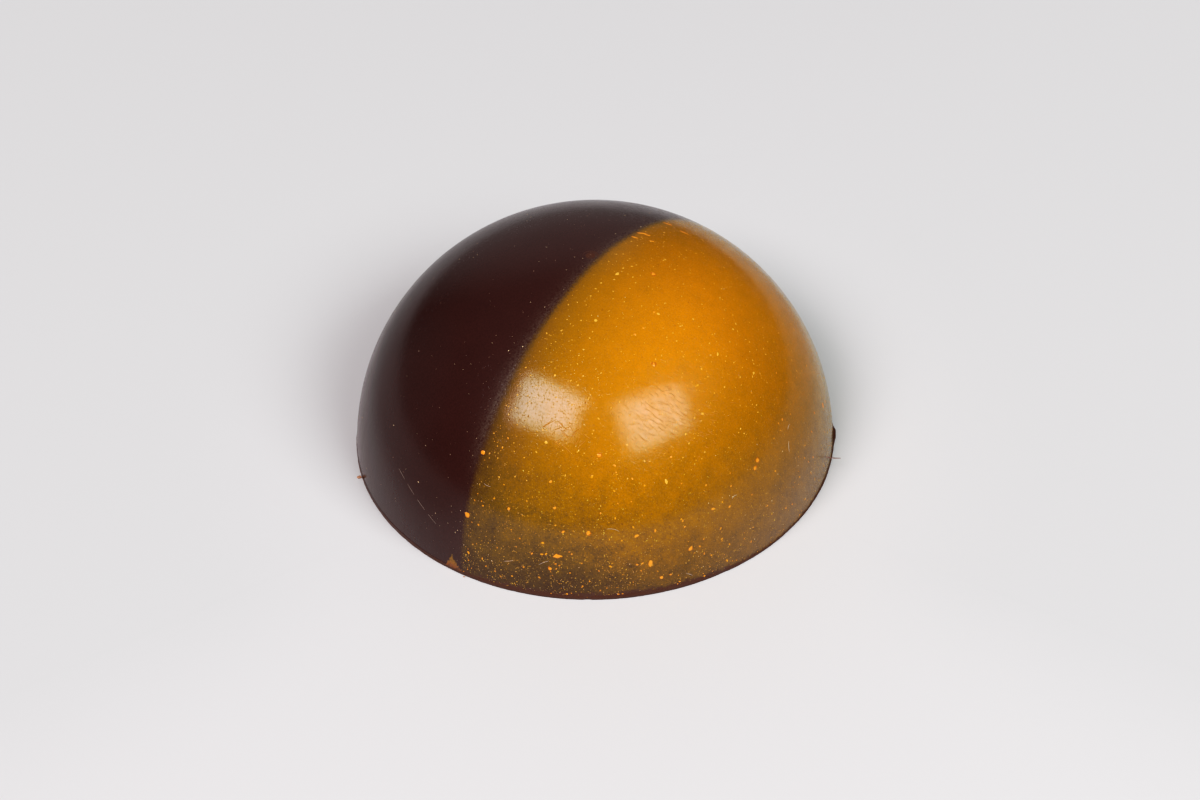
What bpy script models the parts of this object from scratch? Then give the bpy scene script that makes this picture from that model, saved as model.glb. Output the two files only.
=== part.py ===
"""Half-sphere chocolate praline: one glossy moulded dome on a thin foot lip and a flat base.

Metres, +Z up. The origin is the centre of the flat underside, where the praline stands.
Azimuth runs round +Z, from +X towards +Y.
"""
import math

import bmesh
import bpy

# The dome: a little less than a full half sphere, because the base is scraped level.
DOME_RADIUS = 0.0150
DOME_CENTRE_Z = -0.0002
DOME_RINGS = 26
SEGMENTS = 96

# The foot: the thin lip of chocolate that the mould's rim leaves round the base.
FOOT_HEIGHT = 0.00034
FOOT_LIP = 0.00006
FOOT_EDGE_ROUND = 0.00003
FOOT_WAVES = ((3, 0.000014, 0.7), (7, 0.000010, 2.1))    # waves round, height, phase

# The flash: a short swelling of the lip on the +X side.
FLASH_AZIMUTH = math.radians(-1.0)
FLASH_SPREAD = math.radians(5.0)
FLASH_LIP = 0.00018

CHOCOLATE_COLOUR = (0.022, 0.008, 0.007, 1.0)
CHOCOLATE_ROUGHNESS = 0.16


def clear_scene():
    """Remove every object that is already in the scene."""
    for thing in list(bpy.data.objects):
        bpy.data.objects.remove(thing, do_unlink=True)


def chocolate_material():
    """Dark tempered chocolate with the shine of a polished mould."""
    material = bpy.data.materials.new("dark_chocolate")
    material.use_nodes = True
    shader = material.node_tree.nodes["Principled BSDF"]
    shader.inputs["Base Color"].default_value = CHOCOLATE_COLOUR
    shader.inputs["Roughness"].default_value = CHOCOLATE_ROUGHNESS
    shader.inputs["Metallic"].default_value = 0.0
    return material


def dome_radius_at(height):
    """Radius of the dome at a height above the base."""
    return math.sqrt(DOME_RADIUS ** 2 - (height - DOME_CENTRE_Z) ** 2)


def foot_lip(azimuth):
    """How far the foot stands out past the dome at one azimuth."""
    lip = FOOT_LIP
    for waves, height, phase in FOOT_WAVES:
        lip += height * math.sin(waves * azimuth + phase)
    turn = math.remainder(azimuth - FLASH_AZIMUTH, math.tau)
    return lip + FLASH_LIP * math.exp(-(turn / FLASH_SPREAD) ** 2)


def outline(azimuth):
    """Radius and height of each ring at one azimuth, from the underside's edge up to the apex."""
    base = dome_radius_at(0.0)
    brim = base + foot_lip(azimuth)
    points = [
        (brim - FOOT_EDGE_ROUND, 0.0),
        (brim, FOOT_EDGE_ROUND),
        (brim, FOOT_HEIGHT - FOOT_EDGE_ROUND),
        (brim - FOOT_EDGE_ROUND, FOOT_HEIGHT),
    ]
    lowest = math.asin((FOOT_HEIGHT - DOME_CENTRE_Z) / DOME_RADIUS)
    for ring in range(DOME_RINGS):
        angle = lowest + (math.pi / 2 - lowest) * ring / DOME_RINGS
        points.append((DOME_RADIUS * math.cos(angle), DOME_CENTRE_Z + DOME_RADIUS * math.sin(angle)))
    return points


def praline_mesh():
    """The closed solid: underside, foot, dome and apex."""
    shape = bmesh.new()
    columns = []
    for segment in range(SEGMENTS):
        azimuth = math.tau * segment / SEGMENTS
        across, along = math.cos(azimuth), math.sin(azimuth)
        column = [shape.verts.new((r * across, r * along, z)) for r, z in outline(azimuth)]
        columns.append(column)
    apex = shape.verts.new((0.0, 0.0, DOME_CENTRE_Z + DOME_RADIUS))
    for column, following in zip(columns, columns[1:] + columns[:1]):
        for ring in range(len(column) - 1):
            shape.faces.new((column[ring], following[ring], following[ring + 1], column[ring + 1]))
        shape.faces.new((column[-1], following[-1], apex))
    shape.faces.new([column[0] for column in reversed(columns)])
    bmesh.ops.recalc_face_normals(shape, faces=shape.faces)
    mesh = bpy.data.meshes.new("praline")
    shape.to_mesh(mesh)
    shape.free()
    mesh.shade_smooth()
    mesh.set_sharp_from_angle(angle=math.radians(35.0))
    return mesh


def build():
    """Place the praline in the scene."""
    clear_scene()
    praline = bpy.data.objects.new("praline", praline_mesh())
    praline.data.materials.append(chocolate_material())
    bpy.context.collection.objects.link(praline)


build()
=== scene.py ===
"""Looks of the half-sphere chocolate praline: its moulded body, colour film, flecks, dust and crumbs.

Metres, +Z up, the CAD frame's origin at the centre of the underside. An azimuth is a bearing
round +Z in degrees: 0 is -Y, where the camera stands, and 90 is +X. Materials work in mm.
"""
import math
import random

import bmesh
import bpy
from mathutils import Matrix, Vector, noise


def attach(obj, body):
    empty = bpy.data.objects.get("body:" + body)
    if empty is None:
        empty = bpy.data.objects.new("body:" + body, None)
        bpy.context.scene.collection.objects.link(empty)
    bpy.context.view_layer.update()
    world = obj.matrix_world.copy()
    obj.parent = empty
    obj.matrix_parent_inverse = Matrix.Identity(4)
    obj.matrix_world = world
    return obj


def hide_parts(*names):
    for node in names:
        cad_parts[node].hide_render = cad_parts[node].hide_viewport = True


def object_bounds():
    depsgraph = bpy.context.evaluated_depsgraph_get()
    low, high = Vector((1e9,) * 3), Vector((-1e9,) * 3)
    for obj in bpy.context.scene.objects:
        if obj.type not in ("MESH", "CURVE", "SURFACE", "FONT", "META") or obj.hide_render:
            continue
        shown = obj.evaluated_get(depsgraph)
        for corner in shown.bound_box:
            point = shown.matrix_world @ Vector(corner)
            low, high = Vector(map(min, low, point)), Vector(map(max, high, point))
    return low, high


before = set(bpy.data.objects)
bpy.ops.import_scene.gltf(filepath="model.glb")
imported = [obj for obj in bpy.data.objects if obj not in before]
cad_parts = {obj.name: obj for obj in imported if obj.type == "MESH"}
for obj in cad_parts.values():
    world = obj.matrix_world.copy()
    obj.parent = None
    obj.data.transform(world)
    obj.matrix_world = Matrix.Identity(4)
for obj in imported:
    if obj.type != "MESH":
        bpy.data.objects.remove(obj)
cad_low, cad_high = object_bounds()

MM = 0.001

# The moulded dome, hung from the top of the CAD solid.
DOME_CENTRE = Vector((0.0, 0.0, -0.2 * MM))
DOME_RADIUS = cad_high.z - DOME_CENTRE.z
DOME_RINGS = 96
DOME_SEGMENTS = 384
FEWEST_SEGMENTS = 24
DOME_WAVE = 0.003 * MM
DOME_WAVE_LENGTH = 3.2 * MM

# The foot that the mould's rim leaves: a thin ragged lip, with a thicker flash on one side.
FOOT_SEGMENTS = 1536
FOOT_HEIGHT = 0.30 * MM
FOOT_LIP = 0.045 * MM
SIDE_LIP = 0.045 * MM
FLASH_AZIMUTH = 88.3
FLASH_LIP = 0.10 * MM
SMALLEST_LIP = 0.008 * MM
UNDERSIDE_RINGS = 22
SCRAPE_DEPTH = 0.03 * MM
SCRAPE_BEARING = 35.0

# Section of the foot from the base up: share of the lip outward, share of the foot's height.
FOOT_PROFILE = (
    (0.40, 0.0), (0.88, 0.05), (1.0, 0.18), (1.0, 0.42),
    (0.86, 0.64), (0.50, 0.82), (0.14, 0.96), (0.0, 1.10),
)

# The film of coloured cocoa butter ends at an upright plane just off the axis.
SPLIT_BEARING = 53.6
SPLIT_OFFSET = 0.58


def bearing(azimuth, elevation=0.0):
    """Unit vector at an azimuth and an elevation in degrees."""
    a, e = math.radians(azimuth), math.radians(elevation)
    return Vector((math.sin(a) * math.cos(e), -math.cos(a) * math.cos(e), math.sin(e)))


def on_dome(direction, height=0.0):
    """Point on the faintly wavy dome in a direction from its centre, or a height above it."""
    out = direction.normalized()
    wave = noise.noise(out * DOME_RADIUS / DOME_WAVE_LENGTH)
    return DOME_CENTRE + out * (DOME_RADIUS + DOME_WAVE * wave + height)


def dome_radius_at(z):
    """Radius of the dome's level section at a height."""
    return math.sqrt(DOME_RADIUS ** 2 - (z - DOME_CENTRE.z) ** 2)


def around(azimuth, cells, seed):
    """Smooth noise round the axis, from -1 to 1, with about this many cells in a turn."""
    reach = cells / math.tau
    point = bearing(azimuth) * reach
    return noise.noise(Vector((point.x, point.y, seed)))


def turn_between(azimuth, other):
    """Angle from one azimuth to another, from -180 to 180."""
    return (azimuth - other + 180.0) % 360.0 - 180.0


# ---------------------------------------------------------------- meshes

def add_piece(name, shape, material, sharp=35.0):
    """Turn a bmesh into a smooth piece that rides on the praline's one body."""
    bmesh.ops.recalc_face_normals(shape, faces=shape.faces)
    mesh = bpy.data.meshes.new(name)
    shape.to_mesh(mesh)
    shape.free()
    mesh.shade_smooth()
    mesh.set_sharp_from_angle(angle=math.radians(sharp))
    mesh.materials.append(material)
    piece = bpy.data.objects.new(name, mesh)
    bpy.context.collection.objects.link(piece)
    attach(piece, "root")
    return piece


def add_ring(shape, count, place):
    """A ring of points; place gives the point at an azimuth."""
    return [shape.verts.new(place(360.0 * step / count)) for step in range(count)]


def join_rings(shape, wide, narrow):
    """Faces between two rings, the narrow one with as many points as the wide one or half."""
    count = len(narrow)
    if len(wide) == count:
        for step in range(count):
            after = (step + 1) % count
            shape.faces.new((wide[step], wide[after], narrow[after], narrow[step]))
        return
    for step in range(count):
        after = (step + 1) % count
        start, middle, end = wide[2 * step], wide[2 * step + 1], wide[2 * after]
        shape.faces.new((start, middle, narrow[step]))
        shape.faces.new((middle, narrow[after], narrow[step]))
        shape.faces.new((middle, end, narrow[after]))


def points_in_ring(radius):
    """How many points a ring keeps: half as many each time its radius halves."""
    count = DOME_SEGMENTS
    limit = DOME_RADIUS / 2
    while radius < limit and count > FEWEST_SEGMENTS:
        count //= 2
        limit /= 2
    return count


def foot_lip(azimuth):
    """How far the foot stands out past the dome at one azimuth: each feature between two turns."""
    past = turn_between(azimuth, FLASH_AZIMUTH)
    flash = FLASH_LIP * smooth(past, 2.6, 0.9) * smooth(past, -5.0, -0.4)
    turn = turn_between(azimuth, 0.0)
    side = smooth(turn, 45.0, 75.0) * smooth(turn, 92.5, 90.0)
    behind = smooth(turn, 90.0, 92.0) * smooth(turn, 115.0, 100.0)
    ragged = 0.018 * around(azimuth, 60, 4.0) + 0.012 * around(azimuth, 260, 9.0)
    chip = max(0.0, around(azimuth, 80, 17.0) - 0.34) * 0.22
    lip = FOOT_LIP * (1.0 - 0.8 * behind) + flash + SIDE_LIP * side
    return max(SMALLEST_LIP, lip + (ragged - chip * (1.0 - side)) * MM)


def foot_point(azimuth, share, level):
    """A point of the foot: a share of the lip outward and a share of its height up."""
    turn = turn_between(azimuth, 0.0)
    low = 1.0 - 0.5 * smooth(turn, 18.0, 50.0) * smooth(turn, 120.0, 95.0)
    uneven = 0.07 * around(azimuth, 24, 2.0) + 0.03 * around(azimuth, 150, 6.0)
    top = FOOT_HEIGHT * low + uneven * MM * low
    z = top * level
    out = dome_radius_at(z) + foot_lip(azimuth) * share
    return bearing(azimuth) * out + Vector((0.0, 0.0, z))


def underside_point(azimuth, radius):
    """A point of the flat base, scraped with a blade from one side to the other."""
    flat = bearing(azimuth) * radius
    across = flat.dot(bearing(SCRAPE_BEARING)) / MM
    along = flat.dot(bearing(SCRAPE_BEARING + 90.0)) / MM
    scrape = 0.5 + 0.5 * noise.noise(Vector((across * 2.2, along * 0.25, 3.0)))
    fade = min(1.0, (DOME_RADIUS - radius) / (0.8 * MM))
    return flat + Vector((0.0, 0.0, SCRAPE_DEPTH * scrape * fade))


def bake_map(mesh):
    """A flat map of the body: the dome seen from above, unrolled, and the base beside it."""
    layer = mesh.uv_layers.new(name="OFBake")
    dome_size, base_size = 0.45, 0.12
    dome_middle, base_middle = Vector((0.46, 0.46)), Vector((0.87, 0.87))
    edge = math.radians(92.0)
    for face in mesh.polygons:
        under = face.normal.z < -0.7
        for loop in face.loop_indices:
            point = mesh.vertices[mesh.loops[loop].vertex_index].co
            flat = Vector((point.x, point.y))
            if under:
                layer.data[loop].uv = base_middle + flat / DOME_RADIUS * base_size
                continue
            tip = math.atan2(flat.length, point.z - DOME_CENTRE.z)
            past = max(0.0, flat.length - DOME_RADIUS) / DOME_RADIUS
            reach = (tip + past) / edge * dome_size
            heading = flat.normalized() if flat.length > 0.0 else flat
            layer.data[loop].uv = dome_middle + heading * reach


def build_body(material):
    """The praline itself: dome, foot lip and scraped base in one closed mesh."""
    shape = bmesh.new()
    lowest = math.degrees(math.asin((FOOT_HEIGHT * 1.4 - DOME_CENTRE.z) / DOME_RADIUS))
    underside = [
        (DOME_RADIUS + 0.03 * MM) * (1 - step / UNDERSIDE_RINGS) for step in range(1, UNDERSIDE_RINGS)
    ]
    hub = shape.verts.new(underside_point(0.0, 0.0))
    rings = []
    for radius in reversed(underside):
        count = points_in_ring(radius)
        rings.append(add_ring(shape, count, lambda a, r=radius: underside_point(a, r)))
    inner = DOME_RADIUS - 0.12 * MM
    rings.append(add_ring(shape, 2 * DOME_SEGMENTS, lambda a: bearing(a) * inner))
    for share, level in FOOT_PROFILE:
        rings.append(add_ring(shape, FOOT_SEGMENTS, lambda a, s=share, v=level: foot_point(a, s, v)))
    rings.append(add_ring(shape, 2 * DOME_SEGMENTS, lambda a: on_dome(bearing(a, lowest))))
    for ring in range(1, DOME_RINGS):
        elevation = lowest + (90.0 - lowest) * ring / DOME_RINGS
        count = points_in_ring(DOME_RADIUS * math.cos(math.radians(elevation)))
        rings.append(add_ring(shape, count, lambda a, e=elevation: on_dome(bearing(a, e))))
    apex = shape.verts.new(on_dome(bearing(0.0, 90.0)))
    for lower, upper in zip(rings, rings[1:]):
        wide, narrow = (lower, upper) if len(lower) >= len(upper) else (upper, lower)
        join_rings(shape, wide, narrow)
    for ring, tip in ((rings[0], hub), (rings[-1], apex)):
        for step in range(len(ring)):
            shape.faces.new((ring[step], ring[(step + 1) % len(ring)], tip))
    body = add_piece("praline_body", shape, material, sharp=50.0)
    bake_map(body.data)
    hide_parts("praline")
    return body


# ---------------------------------------------------------------- flecks, dust and fibres

# Points along a fibre, and the elevation below which nothing is scattered.
PATH_POINTS = 10
LOWEST_FLECK = 1.2


def add_plate(shape, chance, place, size, turn, rise):
    """A thin uneven plate on the dome; place is (azimuth, elevation), size and rise are in mm."""
    out = bearing(*place)
    level = bearing(place[0] + 90.0)
    down = level.cross(out)
    turned = math.radians(turn)
    across = level * math.cos(turned) + down * math.sin(turned)
    along = down * math.cos(turned) - level * math.sin(turned)
    sides = 6 if max(size) < 0.1 else 10
    reaches = [chance.uniform(0.55, 1.0) for _ in range(sides)]

    def ring(scale, height):
        points = []
        for step, reach in enumerate(reaches):
            angle = math.tau * step / sides
            aside = across * (size[0] * math.cos(angle)) + along * (size[1] * math.sin(angle))
            direction = out * DOME_RADIUS + aside * (0.5 * MM * reach * scale)
            points.append(shape.verts.new(on_dome(direction, height * MM)))
        return points

    under, rim, top = ring(0.8, -0.008), ring(1.0, -0.001), ring(0.66, rise)
    join_rings(shape, under, rim)
    join_rings(shape, rim, top)
    shape.faces.new(top)
    shape.faces.new(list(reversed(under)))


def add_fibre(shape, points, radius, sides=6):
    """A hair-thin tube along points, pointed at both ends."""
    rings = []
    for index, point in enumerate(points):
        ahead = points[min(index + 1, len(points) - 1)] - points[max(index - 1, 0)]
        side = ahead.cross(point - DOME_CENTRE).normalized()
        out = side.cross(ahead).normalized()
        taper = math.sin(math.pi * (index + 0.6) / (len(points) + 0.2)) ** 0.4
        ring = []
        for step in range(sides):
            angle = math.tau * step / sides
            offset = side * math.cos(angle) + out * math.sin(angle)
            ring.append(shape.verts.new(point + offset * (radius * MM * taper)))
        rings.append(ring)
    for lower, upper in zip(rings, rings[1:]):
        join_rings(shape, lower, upper)
    shape.faces.new(rings[0])
    shape.faces.new(rings[-1])


def surface_path(place, length, turn, bend, lift=0.01):
    """Points along a bent line on the dome, middle at place; turn 0 is level, 90 upright."""
    out = bearing(*place)
    level = bearing(place[0] + 90.0)
    down = level.cross(out)
    turned = math.radians(turn)
    along = level * math.cos(turned) - down * math.sin(turned)
    across = along.cross(out)
    points = []
    for step in range(PATH_POINTS):
        share = 2.0 * step / (PATH_POINTS - 1) - 1.0
        aside = along * (0.5 * length * share) + across * (bend * share * share)
        points.append(on_dome(out * DOME_RADIUS + aside * MM, lift * MM))
    return points


def film_side(azimuth, elevation):
    """Distance from the split in mm: more than 0 under the film."""
    point = bearing(azimuth, elevation) * (DOME_RADIUS / MM)
    return point.dot(bearing(SPLIT_BEARING)) - SPLIT_OFFSET


def beside_split(angle, side):
    """(azimuth, elevation) at an angle along the split from its front foot, and mm past it."""
    radius = DOME_RADIUS / MM
    offset = SPLIT_OFFSET + side
    turned = math.radians(angle)
    along = bearing(SPLIT_BEARING - 90.0) * math.cos(turned) + bearing(0.0, 90.0) * math.sin(turned)
    point = bearing(SPLIT_BEARING) * offset + along * math.sqrt(radius ** 2 - offset ** 2)
    return math.degrees(math.atan2(point.x, -point.y)), math.degrees(math.asin(point.z / radius))


def smooth(value, start, end):
    """Smooth step from 0 at start to 1 at end."""
    t = min(1.0, max(0.0, (value - start) / (end - start)))
    return t * t * (3.0 - 2.0 * t)


def low_crowding(azimuth, elevation):
    """How thickly flecks lie low on the film, from 0 to about 1: most beside the split."""
    if film_side(azimuth, elevation) < 0.1:
        return 0.0
    front = math.exp(-(turn_between(azimuth, -8.0) / 36.0) ** 2)
    back = 0.6 * math.exp(-(turn_between(azimuth, 122.0) / 26.0) ** 2)
    clump = 0.75 + 0.8 * noise.noise(bearing(azimuth, elevation) * 9.0)
    rising = (0.5 + 0.5 * smooth(elevation, 16.0, 5.0)) * smooth(elevation, 44.0, 20.0)
    return (0.36 + 0.64 * max(front, back)) * rising * clump


def high_crowding(azimuth, elevation):
    """How thickly light specks lie in the thick upper film, from 0 to 1."""
    if film_side(azimuth, elevation) < 0.3:
        return 0.0
    middle = 0.45 * math.exp(-(turn_between(azimuth, 25.0) / 40.0) ** 2) * smooth(elevation, 60.0, 40.0)
    beside = 0.45 * math.exp(-((film_side(azimuth, elevation) - 0.3) / 2.2) ** 2)
    return min(1.0, 0.34 + middle + beside) * smooth(elevation, 24.0, 44.0)


def bold_crowding(azimuth, elevation):
    """How thickly the boldest flecks lie: evenly over the lower front, thinly over the upper film."""
    if film_side(azimuth, elevation) < 0.1:
        return 0.0
    front = math.exp(-(turn_between(azimuth, 10.0) / 50.0) ** 2)
    return (0.15 + 0.85 * front) * (0.22 + 0.78 * smooth(elevation, 46.0, 22.0))


def dusting(azimuth, elevation):
    """How thickly pale dust lies: along the split, low on the film and thinly elsewhere."""
    side = film_side(azimuth, elevation)
    beside = math.exp(-((side + 0.35) / 0.45) ** 2) * (0.25 + 0.65 * smooth(elevation, 34.0, 14.0))
    low = 0.35 * smooth(elevation, 40.0, 8.0) if side > 0.0 else 0.0
    drift = math.exp(-(turn_between(azimuth, -41.0) / 3.0) ** 2 - ((elevation - 15.0) / 6.0) ** 2)
    return min(1.0, 0.09 + beside + low + drift)


def dark_dusting(azimuth, elevation):
    """How thickly tan dust lies on the bare chocolate: thinning away from the split."""
    side = film_side(azimuth, elevation)
    if side > -0.1:
        return 0.0
    return 0.10 + 0.55 * math.exp(-((side + 0.1) / 3.5) ** 2)


def scattered(chance, count, weight):
    """Random places on the dome, kept by weight, until there are count of them."""
    places = []
    while len(places) < count:
        azimuth = chance.uniform(-180.0, 180.0)
        height = chance.uniform(math.sin(math.radians(LOWEST_FLECK)), 1.0)
        place = (azimuth, math.degrees(math.asin(height)))
        if chance.random() < weight(*place):
            places.append(place)
    return places


# Bold flecks caught on the split: angle along it from the front foot, width and length in mm.
SPLIT_FLECKS = ((18.0, 0.42, 0.38), (34.0, 0.44, 0.40))

# Long flecks where the split runs down the far side: angles along it, mm past it, lengths in mm,
# width as a share of length, and swing in degrees to either side of X.
STREAK_COUNT = 6
STREAK_ANGLES = (102.0, 118.0)
STREAK_SIDES = (0.3, 1.7)
STREAK_LENGTHS = (0.3, 0.8)
STREAK_WIDTH = 0.26
STREAK_SWING = 18.0

# An orange fleck at least this wide in mm has a rusty rim, this much wider than itself.
RIM_FROM = 0.27
RIM_SPREAD = 1.25
RUST = (0.56, 0.18, 0.008)

# Kinds of scattered fleck: name, colour, how many, smallest and largest size in mm, weight, seed.
FLECK_KINDS = (
    ("orange_flecks", (0.92, 0.345, 0.030), 75, (0.11, 0.36), bold_crowding, 11),
    ("amber_flecks", (0.85, 0.36, 0.015), 228, (0.07, 0.18), low_crowding, 23),
    ("gold_specks", (0.66, 0.42, 0.055), 1500, (0.04, 0.085), low_crowding, 37),
    ("ochre_specks", (0.48, 0.29, 0.075), 1080, (0.04, 0.085), low_crowding, 53),
    ("yellow_specks", (0.88, 0.45, 0.065), 1000, (0.05, 0.12), high_crowding, 61),
    ("yellow_flecks", (0.92, 0.50, 0.075), 20, (0.13, 0.30), high_crowding, 67),
    ("cream_dust", (0.90, 0.70, 0.42), 330, (0.035, 0.075), dusting, 41),
    ("tan_dust", (0.32, 0.20, 0.13), 240, (0.035, 0.080), dark_dusting, 73),
)

# Light fibres stuck low in the film: how many, lengths in mm, turns in degrees, bends in mm.
FIBRE_COUNT = 12
FIBRE_LENGTHS = (0.28, 0.75)
FIBRE_TURNS = (-40.0, 80.0)
FIBRE_BENDS = (-0.06, 0.10)
FIBRE_RADIUS = 0.014
FIBRE_COLOUR = (0.55, 0.47, 0.38)

# One broken scratch on the bare side, between two places, in even dashes.
SCRATCH_ENDS = ((-58.0, 18.0), (-41.0, 11.0))
SCRATCH_DASHES = 4
DASH_SHARE = 0.7
DASH_STEPS = 7
DASH_RADIUS = 0.011
DASH_COLOUR = (0.32, 0.24, 0.19)

# A brown hair across the right edge: its foot on the dome, its reach, sag and radius in mm.
HAIR_PLACE = (73.8, 6.3)
HAIR_REACH = (0.98, -0.06, -0.10)
HAIR_SAG = 0.05
HAIR_RADIUS = 0.034
HAIR_STEPS = 7
HAIR_COLOUR = (0.24, 0.12, 0.10)

# Crumbs beside the foot: azimuth, gap to the foot, half sizes out, along and up in mm, seed.
CRUMBS = (
    (-77.0, 0.16, (0.16, 0.11, 0.06), 3.0),
    (-33.0, 0.10, (0.06, 0.05, 0.03), 8.0),
)
CRUMB_COLOUR = (0.58, 0.33, 0.21)

# Clusters of scratches in the film: middle place, spread, how many, lengths in mm, turn, radii in mm.
FILM_SCRATCHES = (
    ((26.0, 44.5), (8.0, 4.5), 280, (0.15, 0.50), -46.0, (0.009, 0.018)),
    ((-9.0, 43.0), (4.0, 2.0), 8, (0.35, 0.80), 45.0, (0.018, 0.024)),
    ((-9.0, 43.0), (4.0, 2.0), 8, (0.35, 0.80), -45.0, (0.018, 0.024)),
)
SCRATCH_COLOUR = (0.62, 0.28, 0.040)


def build_flecks():
    """Every kind of fleck as one piece of joined plates, and rusty rims round the widest."""
    rims = []
    for name, colour, count, (small, large), weight, seed in FLECK_KINDS:
        chance = random.Random(seed)
        shape = bmesh.new()
        for place in scattered(chance, count, weight):
            width = small + (large - small) * chance.random() ** 2.2
            length = width * chance.uniform(0.5, 1.9)
            rise = 0.004 + 0.03 * width
            add_plate(shape, chance, place, (width, length), chance.uniform(0.0, 180.0), rise)
            if name == "orange_flecks" and width > RIM_FROM:
                rims.append((place, width))
        if name == "orange_flecks":
            add_split_flecks(shape, chance)
        add_piece(name, shape, plain_material(name, colour))
    shape = bmesh.new()
    chance = random.Random(5)
    for place, width in rims:
        add_plate(shape, chance, place, (RIM_SPREAD * width, RIM_SPREAD * width), 0.0, 0.003)
    add_piece("rust_rims", shape, plain_material("rust", RUST))


def add_split_flecks(shape, chance):
    """The bold flecks on the split, and the long ones past its top, drawn out roughly along X."""
    for angle, width, length in SPLIT_FLECKS:
        add_plate(shape, chance, beside_split(angle, 0.1), (width, length), 20.0, 0.016)
    for _ in range(STREAK_COUNT):
        place = beside_split(chance.uniform(*STREAK_ANGLES), chance.uniform(*STREAK_SIDES))
        length = chance.uniform(*STREAK_LENGTHS)
        turn = place[0] + chance.uniform(-STREAK_SWING, STREAK_SWING)
        add_plate(shape, chance, place, (length, STREAK_WIDTH * length), turn, 0.012)


def build_fibres():
    """Pale fibres stuck in the film."""
    shape = bmesh.new()
    chance = random.Random(83)
    for place in scattered(chance, FIBRE_COUNT, low_crowding):
        length, turn = chance.uniform(*FIBRE_LENGTHS), chance.uniform(*FIBRE_TURNS)
        path = surface_path(place, length, turn, chance.uniform(*FIBRE_BENDS))
        add_fibre(shape, path, FIBRE_RADIUS)
    add_piece("pale_fibres", shape, plain_material("pale_fibre", FIBRE_COLOUR, roughness=0.5))


def build_scratches():
    """The broken scratch on the bare side, and the clusters of scratches in the film."""
    shape = bmesh.new()
    start, end = (bearing(*place) for place in SCRATCH_ENDS)
    for dash in range(SCRATCH_DASHES):
        steps = [dash + DASH_SHARE * k / DASH_STEPS for k in range(DASH_STEPS + 1)]
        path = [on_dome(start.lerp(end, step / SCRATCH_DASHES), 0.002 * MM) for step in steps]
        add_fibre(shape, path, DASH_RADIUS)
    add_piece("broken_scratch", shape, plain_material("scratched", DASH_COLOUR, roughness=0.5))
    shape = bmesh.new()
    chance = random.Random(97)
    for middle, spread, count, lengths, heading, radii in FILM_SCRATCHES:
        for _ in range(count):
            place = [chance.gauss(*pair) for pair in zip(middle, spread)]
            turn, bend = chance.gauss(heading, 10.0), chance.uniform(-0.04, 0.04)
            path = surface_path(place, chance.uniform(*lengths), turn, bend, lift=0.003)
            add_fibre(shape, path, chance.uniform(*radii), sides=4)
    add_piece("film_scratches", shape, plain_material("film_scratch", SCRATCH_COLOUR, roughness=0.6))


def build_hair():
    """A brown hair that stands out across the right edge, sagging a little."""
    shape = bmesh.new()
    start = on_dome(bearing(*HAIR_PLACE), 0.01 * MM)
    end = start + Vector(HAIR_REACH) * MM
    sag = Vector((0.0, 0.0, -HAIR_SAG * MM))
    shares = [k / HAIR_STEPS for k in range(HAIR_STEPS + 1)]
    hair = [start.lerp(end, share) + sag * math.sin(math.pi * share) for share in shares]
    add_fibre(shape, hair, HAIR_RADIUS)
    add_piece("brown_hair", shape, plain_material("brown_hair", HAIR_COLOUR, roughness=0.5))


def build_crumbs():
    """Two crumbs beside the foot."""
    shape = bmesh.new()
    for azimuth, gap, size, seed in CRUMBS:
        crumb = bmesh.ops.create_icosphere(shape, subdivisions=3, radius=1.0)["verts"]
        out, along, up = bearing(azimuth), bearing(azimuth + 90.0), Vector((0.0, 0.0, 1.0))
        middle = out * (DOME_RADIUS + FOOT_LIP + gap * MM) + up * (size[2] * MM)
        for vertex in crumb:
            bump = 1.0 + 0.45 * noise.noise(vertex.co * 1.6 + Vector((seed, 0.0, 0.0)))
            x, y, z = vertex.co * bump * MM
            vertex.co = middle + out * (x * size[0]) + along * (y * size[1]) + up * (z * size[2])
    add_piece("crumbs", shape, plain_material("crumb", CRUMB_COLOUR, roughness=0.6))


# ---------------------------------------------------------------- materials

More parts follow.
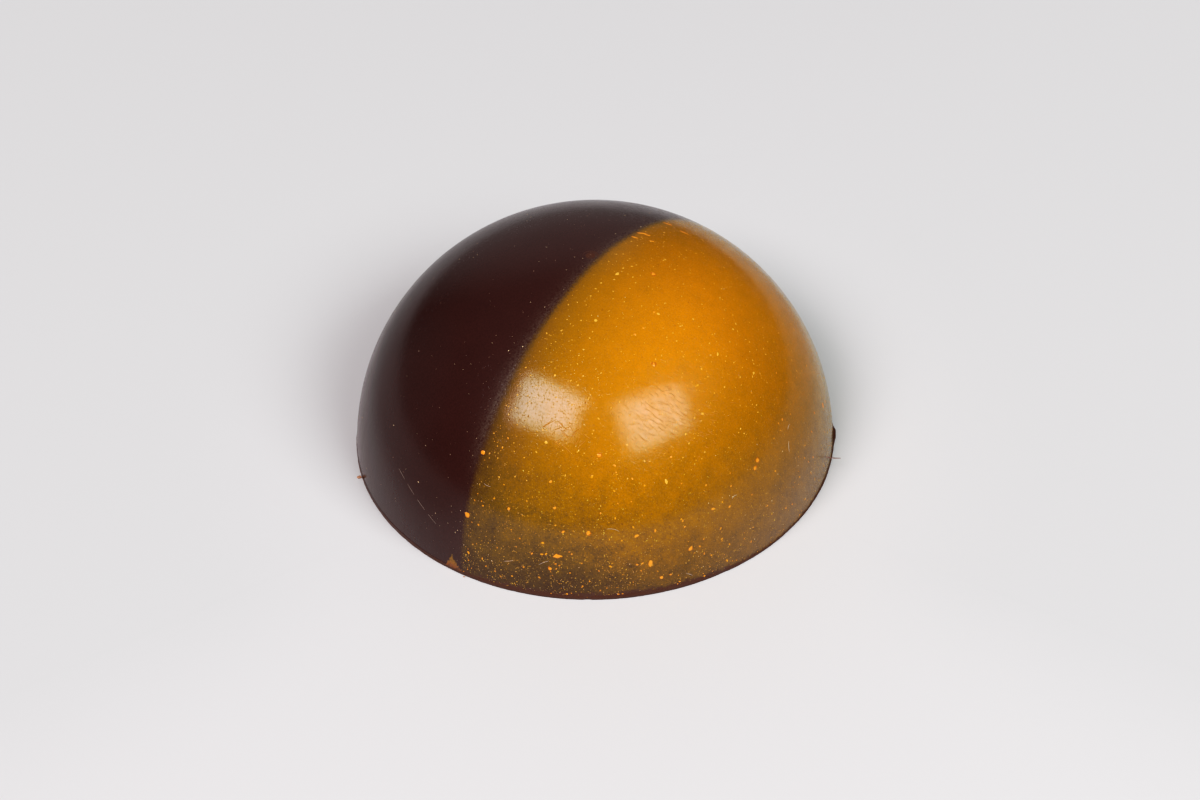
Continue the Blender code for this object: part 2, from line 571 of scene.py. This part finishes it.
class Surface:
    """A Principled material and short calls for the nodes that feed it."""

    def __init__(self, name, roughness, ior=1.44):
        self.material = bpy.data.materials.new(name)
        self.material.use_nodes = True
        self.tree = self.material.node_tree
        self.shader = self.tree.nodes["Principled BSDF"]
        self.shader.inputs["Roughness"].default_value = roughness
        self.shader.inputs["IOR"].default_value = ior
        position = self.add("TexCoord", output="Object")
        self.position = self.vector("SCALE", position, scale=1.0 / MM)

    def feed(self, socket, value):
        """Link a socket, or set its value."""
        if isinstance(value, bpy.types.NodeSocket):
            self.tree.links.new(value, socket)
        else:
            socket.default_value = value

    def add(self, kind, *values, output=0, **settings):
        """A node with its first inputs fed in order."""
        node = self.tree.nodes.new("ShaderNode" + kind)
        for name, setting in settings.items():
            setattr(node, name, setting)
        for socket, value in zip(node.inputs, values):
            self.feed(socket, value)
        return node.outputs[output]

    def set(self, name, value):
        """Feed one of the shader's own sockets."""
        self.feed(self.shader.inputs[name], value)

    def math(self, operation, *values, clamp=False):
        """One arithmetic node."""
        return self.add("Math", *values, operation=operation, use_clamp=clamp)

    def total(self, *values):
        """The sum of any number of values."""
        result = values[0]
        for value in values[1:]:
            result = self.math("ADD", result, value)
        return result

    def times(self, *values):
        """The product of any number of values."""
        result = values[0]
        for value in values[1:]:
            result = self.math("MULTIPLY", result, value)
        return result

    def vector(self, operation, *values, scale=None):
        """Vector arithmetic; scale is the factor of SCALE."""
        node = self.tree.nodes.new("ShaderNodeVectorMath")
        node.operation = operation
        for socket, value in zip(node.inputs, values):
            self.feed(socket, value)
        if scale is not None:
            self.feed(node.inputs["Scale"], scale)
        return node.outputs["Value" if operation in ("DOT_PRODUCT", "LENGTH", "DISTANCE") else "Vector"]

    def step(self, value, start, end):
        """Smooth step from 0 at start to 1 at end."""
        return self.add("MapRange", value, start, end, 0.0, 1.0, interpolation_type="SMOOTHSTEP")

    def slope(self, value, start, end, first, last):
        """Straight change from first to last between start and end, level outside them."""
        return self.add("MapRange", value, start, end, first, last)

    def mix(self, factor, first, second):
        """Two colours mixed."""
        node = self.tree.nodes.new("ShaderNodeMix")
        node.data_type = "RGBA"
        self.feed(node.inputs["Factor"], factor)
        colours = [socket for socket in node.inputs if socket.type == "RGBA"]
        for socket, value in zip(colours, (first, second)):
            self.feed(socket, (*value, 1.0) if isinstance(value, tuple) else value)
        return next(socket for socket in node.outputs if socket.type == "RGBA")

    def stretched(self, along, length, width):
        """The position, with features drawn out along a direction: length and width in mm."""
        reach = self.vector("DOT_PRODUCT", self.position, tuple(along))
        drawn = self.math("MULTIPLY", reach, 1.0 / length - 1.0 / width)
        across = self.vector("SCALE", self.position, scale=1.0 / width)
        return self.vector("ADD", across, self.vector("SCALE", tuple(along), scale=drawn))

    def noise(self, cells, detail=2.0, roughness=0.5, shift=0.0, place=None):
        """Noise from -0.5 to 0.5 with this many cells in a millimetre."""
        place = self.vector("ADD", place or self.position, (shift, shift * 0.7, shift * 1.3))
        node = self.tree.nodes.new("ShaderNodeTexNoise")
        self.feed(node.inputs["Vector"], place)
        for name, value in (("Scale", cells), ("Detail", detail), ("Roughness", roughness)):
            self.feed(node.inputs[name], value)
        return self.math("SUBTRACT", node.outputs[0], 0.5)

    def specks(self, cells, size, share, shift=0.0, soft=0.5):
        """Round specks: cells in a millimetre, largest radius in mm, share of cells that hold one."""
        place = self.vector("ADD", self.position, (shift, shift * 0.6, shift * 1.7))
        node = self.tree.nodes.new("ShaderNodeTexVoronoi")
        self.feed(node.inputs["Vector"], place)
        self.feed(node.inputs["Scale"], cells)
        chance = self.add("SeparateColor", node.outputs["Color"])
        weight = self.slope(chance, 1.0 - share, 1.0, 0.0, 1.0)
        radius = self.math("MULTIPLY", weight, size * cells)
        near = self.math("SUBTRACT", radius, node.outputs["Distance"])
        return self.math("DIVIDE", near, size * cells * soft, clamp=True)

    def hatch(self, along, length, width, thin, shift):
        """Thin broken lines along a direction, from 0 to 1."""
        place = self.stretched(along, length, width)
        away = self.math("ABSOLUTE", self.noise(1.0, detail=1.0, shift=shift, place=place))
        return self.step(away, thin, 0.0)

    def ramp(self, factor, stops):
        """A colour ramp through (place, colour) stops."""
        node = self.tree.nodes.new("ShaderNodeValToRGB")
        self.feed(node.inputs["Fac"], factor)
        elements = node.color_ramp.elements
        while len(elements) < len(stops):
            elements.new(0.5)
        for element, (place, colour) in zip(elements, stops):
            element.position = place
            element.color = (*colour, 1.0)
        return node.outputs["Color"]

    def bump(self, height):
        """Bump from a height in mm."""
        node = self.tree.nodes.new("ShaderNodeBump")
        self.feed(node.inputs["Height"], height)
        self.feed(node.inputs["Distance"], MM)
        self.feed(node.inputs["Strength"], 1.0)
        self.set("Normal", node.outputs["Normal"])


CHOCOLATE = (0.0560, 0.0180, 0.0148)
FOOT_CHOCOLATE = (0.098, 0.036, 0.020)
PIGMENT = (0.66, 0.36, 0.035)
BLOOM = (0.50, 0.38, 0.27)
FILM_PEPPER = (0.055, 0.026, 0.012)
GRIT = (0.20, 0.09, 0.02)
SPLIT_DUST = (0.150, 0.102, 0.076)
# Near-black of the painted shade along the underside of the foot.
PAINTED_FOOT_SHADE = (0.030, 0.010, 0.006)

# The stray patch of film: its bearing, height of its tip in mm, slope of each side, colours.
PATCH_BEARING = -36.5
PATCH_TIP = 1.17
PATCH_RISE, PATCH_FALL = 1.92, -1.245
PATCH_STOPS = ((0.0, (0.27, 0.090, 0.030)), (0.6, (0.25, 0.130, 0.012)))

# Relief of the skin, in mm: heights of swells, peel, grain and streaks, depths of pits and grooves.
SWELL_HEIGHT = 0.0060
PEEL_HEIGHT = 0.0020
GRAIN_HEIGHT = 0.0020
PIT_DEPTH = 0.0090
GROOVE_DEPTH = 0.0030
STREAK_HEIGHT = 0.0120
SLANTED = Vector((0.707, -0.473, -0.525))
UPRIGHT = Vector((0.35, 0.60, 0.72)).normalized()

# Roughness of bare chocolate, and what the foot, smudges, film and grit change.
BARE_ROUGHNESS = 0.195
FOOT_ROUGHNESS = 0.20
SMUDGE_ROUGHNESS = 0.12
FILM_SMOOTHNESS = 0.105
GRIT_ROUGHNESS = 0.90

# Colour of the film over the chocolate, by how much of it there is.
FILM_FULL = 1.1
FILM_STOPS = (
    (0.00, (0.060, 0.022, 0.014)),
    (0.10, (0.124, 0.061, 0.017)),
    (0.22, (0.212, 0.113, 0.014)),
    (0.38, (0.316, 0.162, 0.005)),
    (0.53, (0.420, 0.192, 0.001)),
    (0.69, (0.525, 0.219, 0.001)),
    (1.00, (0.720, 0.266, 0.001)),
    (1.10, (0.785, 0.280, 0.001)),
)

# Where the film's cover is raised or lowered: azimuth, elevation, reach in mm, gain.
FILM_SWELLS = (
    (5.0, 35.0, 9.0, 0.30),       # thick half way up the front
    (-10.0, 0.0, 6.5, -0.50),     # worn thin at the front foot
    (45.0, 60.0, 8.5, 0.25),      # thick high up on the right
    (100.0, 25.0, 9.5, 0.45),     # more cover, so brighter, round the right edge
    (-10.0, 15.0, 6.5, -0.15),    # thin above the worn foot
)

# Cover of an even film: at the foot, and what it gains up to its full height in mm.
COVER_FOOT = 0.20
COVER_GAIN = 0.73
COVER_HEIGHT = 12.8
COVER_CURVE = 1.5


def plain_material(name, colour, roughness=0.2):
    """A small piece's one colour, with the gloss of what it lies in."""
    s = Surface(name, roughness)
    s.set("Base Color", (*colour, 1.0))
    return s.material


def film_cover(s, y, height, side):
    """How much film covers the chocolate: more towards the top and away from the split."""
    rise = s.math("POWER", s.math("DIVIDE", height, COVER_HEIGHT, clamp=True), COVER_CURVE)
    cover = s.math("MULTIPLY_ADD", rise, COVER_GAIN, COVER_FOOT)
    fade = s.math("POWER", math.e, s.math("DIVIDE", s.math("MAXIMUM", side, 0.0), -5.0))
    thinned = s.times(fade, s.slope(y, -17.4, 16.0, 0.9, 0.2), s.slope(height, 3.5, 7.5, 0.86, 1.06))
    cover = s.math("MULTIPLY", cover, s.math("SUBTRACT", 1.0, thinned))
    swell = 1.0
    for azimuth, elevation, reach, gain in FILM_SWELLS:
        spot = bearing(azimuth, elevation) * (DOME_RADIUS / MM)
        near = s.step(s.vector("DISTANCE", s.position, tuple(spot)), reach, 0.0)
        swell = s.math("MULTIPLY_ADD", near, gain, swell)
    edge = s.math("POWER", math.e, s.math("DIVIDE", s.math("MAXIMUM", side, -0.2), -0.4))
    near_edge = s.math("POWER", math.e, s.math("DIVIDE", s.math("MAXIMUM", side, 0.0), -2.0))
    thin_edge = s.total(s.times(edge, 0.24), s.times(near_edge, 0.10))
    upper = s.step(height, 6.8, 9.6)
    return s.times(cover, swell, s.math("SUBTRACT", 1.0, s.times(thin_edge, upper)))


def film_colour(s, x, y, height, side):
    """The film: blotched and grainy low down beside the split, even and smooth on top."""
    low = s.step(height, 11.5, 2.0)
    beside = s.slope(x, -3.0, 8.0, 0.80, 0.40)
    uneven = s.math("MULTIPLY_ADD", s.times(low, beside), 1.0, 0.20)
    blotches = s.total(
        s.times(s.noise(1.0, detail=2.0, roughness=0.6), 1.6),
        s.times(s.noise(4.2, detail=3.0, roughness=0.8, shift=3.0), 1.2),
    )
    grain = s.times(s.noise(9.0, detail=2.0, roughness=0.9, shift=1.0), s.math("ADD", uneven, 0.14), 1.9)
    texture = s.total(1.0, s.times(blotches, uneven), grain)
    scuffed = s.times(s.slope(height, 0.3, 2.2, 0.36, 0.0), s.slope(x, -2.0, 9.0, 1.0, 0.2))
    worn = s.math("SUBTRACT", 1.0, scuffed)
    cover = s.times(film_cover(s, y, height, side), s.math("MAXIMUM", texture, 0.05), worn)
    colour = s.ramp(
        s.math("DIVIDE", cover, FILM_FULL, clamp=True),
        [(place / FILM_FULL, stop) for place, stop in FILM_STOPS],
    )
    # Painted light: the film is made yellower towards the back right, standing in for the stronger light
    # that falls on that side. The olive low at the front left is the film's own tint.
    painted_light_yellowing = s.step(s.vector("DOT_PRODUCT", s.position, tuple(bearing(130.0, 10.0))), 5.5, 11.5)
    foot_spot = bearing(-22.0, 8.0) * (DOME_RADIUS / MM)
    olive = s.step(s.vector("DISTANCE", s.position, tuple(foot_spot)), 8.0, 2.5)
    greener = s.total(1.0, s.times(painted_light_yellowing, 0.09), s.times(olive, 0.07))
    tint = s.add("CombineXYZ", 1.0, greener, 1.0)
    colour = s.vector("MULTIPLY", colour, tint)
    dark = s.total(s.specks(3.4, 0.080, 0.35, shift=7.0), s.specks(6.0, 0.050, 0.5, shift=17.0))
    colour = s.mix(s.times(dark, s.math("MULTIPLY_ADD", uneven, 0.42, 0.12)), colour, FILM_PEPPER)
    light = s.specks(7.5, 0.052, 0.55, shift=2.0)
    colour = s.mix(s.times(light, s.math("MULTIPLY_ADD", uneven, 0.55, 0.10)), colour, PIGMENT)
    bloom = s.times(s.slope(height, 1.5, 8.0, 1.0, 0.0), s.slope(x, 5.5, 12.5, 0.0, 0.165))
    return s.mix(bloom, colour, BLOOM)


def stray_film(s, height):
    """A small three-cornered patch of film at the foot, past the split, and its colour."""
    middle, level = bearing(PATCH_BEARING), bearing(PATCH_BEARING + 90.0)
    aside = s.math("ADD", s.vector("DOT_PRODUCT", s.position, tuple(level)), 0.1)
    rising = s.math("MULTIPLY_ADD", aside, PATCH_RISE, PATCH_TIP)
    falling = s.math("MULTIPLY_ADD", aside, PATCH_FALL, PATCH_TIP)
    inside = s.math("SUBTRACT", s.math("MINIMUM", rising, falling), height)
    ragged = s.times(s.noise(5.5, detail=3.0, roughness=0.9, shift=12.0), 1.3)
    facing = s.step(s.vector("DOT_PRODUCT", s.position, tuple(middle)), 8.0, 9.0)
    patch = s.times(s.step(s.total(inside, ragged), -0.03, 0.16), facing)
    colour = s.ramp(s.slope(height, 0.1, 1.2, 0.0, 1.0), PATCH_STOPS)
    mottled = s.math("MULTIPLY_ADD", s.noise(6.0, detail=3.0, roughness=0.9, shift=31.0), 2.4, 1.15)
    return patch, s.vector("SCALE", colour, scale=s.math("MAXIMUM", mottled, 0.25))


def bare_colour(s, height, side):
    """Bare chocolate, faintly clouded, with the dusty edge of the spray beside the split."""
    broad = s.times(s.noise(0.35, detail=3.0, shift=8.0), 0.25)
    fine = s.times(s.noise(9.0, shift=28.0), 0.5)
    cloud = s.total(1.0, broad, fine)
    bare = s.vector("SCALE", CHOCOLATE, scale=cloud)
    reach = s.times(s.step(height, 6.2, 9.8), s.slope(height, 12.0, 13.8, 0.68, 0.46))
    past = s.math("MINIMUM", s.math("ADD", side, 0.3), 0.0)
    fade = s.math("POWER", math.e, s.math("DIVIDE", past, 0.34))
    dust = s.times(fade, s.math("ADD", reach, 0.10))
    droplets = s.noise(7.0, detail=3.0, roughness=1.0, shift=4.0)
    stipple = s.math("MULTIPLY_ADD", droplets, 6.0, 0.5, clamp=True)
    return s.mix(s.times(dust, stipple), bare, SPLIT_DUST)


def relief(s, x, height, film):
    """Height in mm of the skin's pits, scratches, orange peel and faint upright streaks."""
    lower = s.step(height, 9.0, 1.0)
    swell = s.times(s.noise(0.8, detail=2.0, shift=21.0), SWELL_HEIGHT)
    peel = s.times(s.noise(4.0, detail=2.0, roughness=0.6, shift=2.5), PEEL_HEIGHT)
    grain_height = s.math("MULTIPLY_ADD", film, GRAIN_HEIGHT, GRAIN_HEIGHT)
    grain = s.times(s.noise(11.0, detail=2.0, roughness=0.7, shift=5.5), grain_height)
    pits = s.times(s.specks(6.0, 0.055, 0.6, shift=13.0, soft=0.8), -PIT_DEPTH)
    worn = s.step(s.noise(0.5, detail=1.0, shift=33.0), -0.05, 0.12)
    scratches = s.times(s.hatch(SLANTED, 0.9, 0.17, 0.034, 6.0), s.step(x, 0.0, 4.0), 0.95)
    others = s.times(s.hatch(UPRIGHT, 1.6, 0.45, 0.022, 16.0), worn, 0.25)
    grooves = s.times(s.math("ADD", scratches, others), -GROOVE_DEPTH)
    heading = s.vector("NORMALIZE", s.vector("MULTIPLY", s.position, (1.0, 1.0, 0.0)))
    round_axis = s.vector("ADD", s.vector("SCALE", heading, scale=DOME_RADIUS / MM), (0.0, 0.0, 5.0))
    lines = s.noise(1.4, detail=2.0, roughness=0.6, shift=41.0, place=round_axis)
    streaks = s.times(lines, lower, STREAK_HEIGHT)
    return s.total(swell, peel, grain, pits, grooves, streaks)


def body_material():
    """Dark chocolate, and over one side the film of coloured cocoa butter."""
    s = Surface("praline_surface", roughness=0.12)
    x, y, height = (s.add("SeparateXYZ", s.position, output=axis) for axis in ("X", "Y", "Z"))

    # Distance to the split, its edge wandering and stippled with fine droplets.
    split = bearing(SPLIT_BEARING)
    side = s.math("SUBTRACT", s.vector("DOT_PRODUCT", s.position, tuple(split)), SPLIT_OFFSET)
    wander = s.times(s.noise(0.25, detail=1.0, shift=5.0), 0.28)
    ragged = s.times(s.noise(7.0, detail=2.0, roughness=0.8, shift=9.0), 0.55)
    half = s.slope(height, 5.0, 8.5, 0.16, 0.30)
    film = s.step(s.total(side, wander, ragged), s.times(half, -1.0), half)

    colour = s.mix(film, bare_colour(s, height, side), film_colour(s, x, y, height, side))
    grit = s.times(s.specks(9.0, 0.052, 1.2, shift=23.0, soft=0.3), s.step(side, -0.3, 0.3))
    colour = s.mix(s.times(grit, 0.12), colour, GRIT)
    patch, patch_colour = stray_film(s, height)
    colour = s.mix(patch, colour, patch_colour)

    # Chocolate shows bare along the foot, browner and duller where it broke off the mould.
    foot_top = s.times(s.slope(x, 5.0, 12.0, 0.46, 0.10), s.step(x, -13.0, -5.0))
    uneven = s.times(s.noise(2.6, detail=4.0, roughness=0.85, shift=6.0), 1.2)
    foot = s.step(s.math("SUBTRACT", s.total(height, uneven), foot_top), 0.16, -0.10)
    across = s.vector("LENGTH", s.vector("MULTIPLY", s.position, (1.0, 1.0, 0.0)))
    level = s.math("SUBTRACT", height, DOME_CENTRE.z / MM)
    dome = s.math("SQRT", s.math("SUBTRACT", (DOME_RADIUS / MM) ** 2, s.times(level, level)))
    foot = s.math("MAXIMUM", foot, s.step(s.math("SUBTRACT", across, dome), 0.012, 0.035))
    colour = s.mix(foot, colour, FOOT_CHOCOLATE)
    # Painted shade: the lowest tenth of a millimetre of the foot, where it tucks under onto the floor,
    # is darkened almost to black.
    last = s.step(height, 0.10, 0.03)
    colour = s.mix(s.times(last, 0.7), colour, PAINTED_FOOT_SHADE)
    s.set("Base Color", colour)

    smudge = s.times(s.noise(0.9, detail=4.0, roughness=0.7, shift=14.0), SMUDGE_ROUGHNESS)
    duller = s.total(BARE_ROUGHNESS, s.times(foot, FOOT_ROUGHNESS), smudge)
    s.set("Roughness", s.total(duller, s.times(film, -FILM_SMOOTHNESS), s.times(grit, GRIT_ROUGHNESS)))
    s.bump(relief(s, x, height, film))
    return s.material


# ---------------------------------------------------------------- stage, light and camera

FLOOR_RADIUS = 8.3 * DOME_RADIUS
FLOOR_SOLID = 4.6 * DOME_RADIUS
FLOOR_GAP = 0.02 * MM
FLOOR_COLOUR = (0.785, 0.812, 0.815, 1.0)
BACKDROP = (0.72, 0.712, 0.72, 1.0)

# Softboxes: name, azimuth, elevation, roll, tilt, size over distance, radiance, colour.
SOFTBOX_DISTANCE = 40 * DOME_RADIUS
SOFTBOXES = (
    ("left_softbox", -36.0, 51.0, 3.5, (-7.5, 6.0), (0.60, 0.41), 9.3, (1.12, 1.0, 1.02)),
    ("right_softbox", 45.0, 42.5, -10.0, (-28.0, 6.0), (0.69, 0.41), 8.3, (1.0, 1.0, 1.0)),
)

# The camera: elevation and distance seen from the frame's origin, the point it looks at, lens and
# sensor in mm, and roll in degrees.
CAMERA_ELEVATION = 42.0
CAMERA_DISTANCE = 24 * DOME_RADIUS
CAMERA_AIM = Vector((0.38, 1.48, 1.64)) * MM
CAMERA_LENS = 171.2
CAMERA_SENSOR = 36.0
CAMERA_ROLL = -1.4

# Tone curve: a few levels and the level that each is shown as.
TONES = ((0.03, 0.012), (0.10, 0.060), (0.17, 0.122), (0.36, 0.36))


def build_floor():
    """A plain pale floor just under the base, fading into the backdrop far out."""
    shape = bmesh.new()
    bmesh.ops.create_circle(shape, cap_ends=True, segments=128, radius=FLOOR_RADIUS)
    mesh = bpy.data.meshes.new("floor")
    shape.to_mesh(mesh)
    shape.free()
    floor = bpy.data.objects.new("floor", mesh)
    floor.location.z = cad_low.z - FLOOR_GAP
    bpy.context.collection.objects.link(floor)
    s = Surface("floor_paint", roughness=0.8)
    s.set("Base Color", FLOOR_COLOUR)
    s.set("Specular IOR Level", 0.1)
    flat = s.vector("MULTIPLY", s.position, (1.0, 1.0, 0.0))
    away = s.vector("LENGTH", flat)
    x, y = (s.add("SeparateXYZ", s.vector("NORMALIZE", flat), output=axis) for axis in ("X", "Y"))
    sides = s.total(s.slope(x, -0.75, 0.15, 0.56, 0.84), s.slope(x, 0.4, 0.75, 0.0, -0.26))
    level = s.math("MAXIMUM", sides, s.step(y, -0.2, -0.8))
    near = s.step(away, 1.9 * DOME_RADIUS / MM, 1.05 * DOME_RADIUS / MM)
    drawn_in = s.total(away, s.times(x, 0.6 * DOME_RADIUS / MM))
    far = s.step(drawn_in, FLOOR_RADIUS / MM, FLOOR_SOLID / MM)
    held = s.total(level, s.times(near, s.math("SUBTRACT", 1.0, level)))
    s.set("Alpha", s.times(held, far))
    mesh.materials.append(s.material)


def add_softbox(name, azimuth, elevation, roll, tilt, size, radiance, colour):
    """A soft rectangular light, dimmer at its edges; size is width and height over distance."""
    back = bearing(azimuth, elevation)
    level = bearing(azimuth + 90.0)
    across = Matrix.Rotation(math.radians(roll), 3, back) @ level
    up = back.cross(across)
    centre = back * SOFTBOX_DISTANCE + Vector((0.0, 0.0, DOME_RADIUS / 2))
    swing = Matrix.Rotation(math.radians(tilt[0]), 3, up)
    nod = Matrix.Rotation(math.radians(-tilt[1]), 3, swing @ across)
    across, up, back = (nod @ swing @ axis for axis in (across, up, back))
    light = bpy.data.lights.new(name, "AREA")
    light.shape = "RECTANGLE"
    light.size, light.size_y = (side * SOFTBOX_DISTANCE for side in size)
    light.energy = radiance * math.pi * light.size * light.size_y
    light.color = colour
    light.use_nodes = True
    nodes, links = light.node_tree.nodes, light.node_tree.links
    place = nodes.new("ShaderNodeNewGeometry")
    parts = nodes.new("ShaderNodeSeparateXYZ")
    links.new(place.outputs["Parametric"], parts.inputs[0])
    glow = None
    for axis in ("X", "Y"):
        middle = nodes.new("ShaderNodeMath")
        middle.operation = "PINGPONG"
        middle.inputs[1].default_value = 0.5
        links.new(parts.outputs[axis], middle.inputs[0])
        rise = nodes.new("ShaderNodeMapRange")
        rise.interpolation_type = "SMOOTHSTEP"
        rise.inputs["From Max"].default_value = 0.20
        rise.inputs["To Min"].default_value = 0.60
        links.new(middle.outputs[0], rise.inputs["Value"])
        if glow is None:
            glow = rise.outputs["Result"]
            continue
        both = nodes.new("ShaderNodeMath")
        both.operation = "MULTIPLY"
        links.new(glow, both.inputs[0])
        links.new(rise.outputs["Result"], both.inputs[1])
        links.new(both.outputs[0], nodes["Emission"].inputs["Strength"])
    lamp = bpy.data.objects.new(name, light)
    lamp.matrix_world = Matrix.Translation(centre) @ Matrix((across, up, back)).transposed().to_4x4()
    bpy.context.collection.objects.link(lamp)


def build_world():
    """A dim room that the gloss reflects, lighter behind, and a pale backdrop for the camera."""
    world = bpy.data.worlds.new("studio")
    bpy.context.scene.world = world
    world.use_nodes = True
    tree = world.node_tree
    node = tree.nodes.new
    link = tree.links.new
    way = node("ShaderNodeTexCoord").outputs["Generated"]

    def glow(direction, start, end, dim, bright):
        facing = node("ShaderNodeVectorMath")
        facing.operation = "DOT_PRODUCT"
        link(way, facing.inputs[0])
        facing.inputs[1].default_value = direction
        step = node("ShaderNodeMapRange")
        step.interpolation_type = "SMOOTHSTEP"
        for socket, value in zip(step.inputs[1:5], (start, end, dim, bright)):
            socket.default_value = value
        link(facing.outputs["Value"], step.inputs["Value"])
        return step.outputs["Result"]

    def combine(operation, first, second):
        result = node("ShaderNodeMath")
        result.operation = operation
        link(first, result.inputs[0])
        link(second, result.inputs[1])
        return result.outputs[0]

    ceiling = glow(bearing(0.0, 90.0), 0.15, 0.8, 0.03, 0.13)
    behind = glow(bearing(-176.0, 16.0), 0.75, 0.985, 0.0, 0.37)
    not_right = glow(bearing(90.0), 0.14, 0.30, 1.0, 0.0)
    side_wall = glow(bearing(-110.0, 2.0), 0.86, 0.985, 0.0, 0.13)
    walls = combine("ADD", ceiling, combine("MULTIPLY", behind, not_right))
    total = combine("ADD", walls, side_wall)
    room = tree.nodes["Background"]
    room.inputs["Color"].default_value = (1.0, 0.98, 0.98, 1.0)
    link(total, room.inputs["Strength"])
    backdrop = node("ShaderNodeBackground")
    backdrop.inputs["Color"].default_value = BACKDROP
    path = node("ShaderNodeLightPath")
    choice = node("ShaderNodeMixShader")
    link(path.outputs["Is Camera Ray"], choice.inputs["Fac"])
    link(room.outputs[0], choice.inputs[1])
    link(backdrop.outputs[0], choice.inputs[2])
    link(choice.outputs[0], tree.nodes["World Output"].inputs["Surface"])


def build_camera():
    """A long lens looking down at the side that shows both colours, turned a little."""
    camera = bpy.data.cameras.new("camera")
    camera.lens = CAMERA_LENS
    camera.sensor_width = CAMERA_SENSOR
    camera.clip_start = 0.01
    place = bearing(0.0, CAMERA_ELEVATION) * CAMERA_DISTANCE
    ahead = (CAMERA_AIM - place).normalized()
    level = ahead.cross(Vector((0.0, 0.0, 1.0))).normalized()
    upright = level.cross(ahead)
    roll = math.radians(CAMERA_ROLL)
    across = level * math.cos(roll) + upright * math.sin(roll)
    rig = bpy.data.objects.new("camera", camera)
    turned = Matrix((across, across.cross(ahead), -ahead)).transposed().to_4x4()
    rig.matrix_world = Matrix.Translation(place) @ turned
    bpy.context.collection.objects.link(rig)
    bpy.context.scene.camera = rig


def set_tones():
    """A camera's tone curve: straight in the lights, with a soft toe in the darks."""
    view = bpy.context.scene.view_settings
    view.view_transform = "Standard"
    view.use_curve_mapping = True
    curve = view.curve_mapping.curves[3]
    for level, shown in TONES:
        curve.points.new(level, shown)
    view.curve_mapping.update()


build_body(body_material())
build_flecks()
build_fibres()
build_scratches()
build_hair()
build_crumbs()
build_floor()
for softbox in SOFTBOXES:
    add_softbox(*softbox)
build_world()
build_camera()
set_tones()
